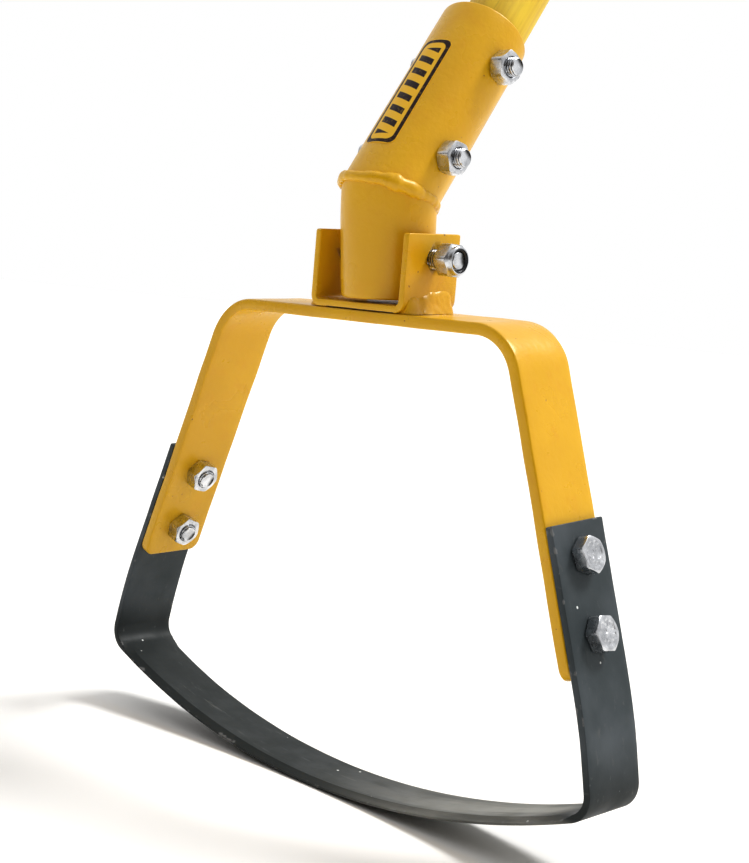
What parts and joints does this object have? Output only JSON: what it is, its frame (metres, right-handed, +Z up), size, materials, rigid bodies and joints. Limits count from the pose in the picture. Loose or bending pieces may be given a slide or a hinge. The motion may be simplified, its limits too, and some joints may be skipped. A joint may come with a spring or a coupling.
{
  "type": "stirrup hoe",
  "caption": "Long-handled stirrup hoe: a looped strip blade bolted to a bent yoke that swings on a pivot bolt under a tube socket.",
  "frame": {"origin": "on the handle's axis, level with the mouth of the socket", "axes": "+Z up with the stirrup upright, +Y towards the person who holds the handle, +X along the blade; the handle leans back 33 degrees from +Z towards +Y"},
  "size_m": [0.28, 0.6911, 1.2653],
  "materials": {
    "handle_wood": "yellow-stained wood, satin varnish",
    "yellow_paint": "gloss golden-yellow enamel on steel",
    "plain_steel": "bare turned steel",
    "label": "printed vinyl",
    "zinc": "bright zinc plate",
    "nylon": "dark nylon",
    "blade_steel": "dark tempered spring steel, worn bare inside"
  },
  "bodies": {
    "handle_and_socket": {"handle": "handle_wood", "socket_tube": "yellow_paint", "pivot_stub": "yellow_paint", "socket_weld": "yellow_paint", "pivot_sleeve": "plain_steel", "socket_label": "label", "cross_bolt_upper": "zinc", "cross_bolt_lower": "zinc", "cross_nut_upper": "zinc", "cross_nut_lower": "zinc"},
    "stirrup_head": {"pivot_bolt": "zinc", "pivot_lock_nut": "zinc", "lock_nut_insert": "nylon", "bracket": "yellow_paint", "bracket_weld_left": "yellow_paint", "bracket_weld_right": "yellow_paint", "yoke": "yellow_paint", "blade": "blade_steel", "blade_bolt_left_upper": "zinc", "blade_bolt_left_lower": "zinc", "blade_bolt_right_upper": "zinc", "blade_bolt_right_lower": "zinc", "blade_nut_left_upper": "zinc", "blade_nut_left_lower": "zinc", "blade_nut_right_upper": "zinc", "blade_nut_right_lower": "zinc"}
  },
  "joints": [
    {"name": "head_swing", "type": "hinge", "parent": "handle_and_socket", "child": "stirrup_head", "pos_m": [-0.0014, -0.04822, -0.0996], "axis": [1, 0, 0], "range_deg": [-4.5, 4.5]}
  ]
}
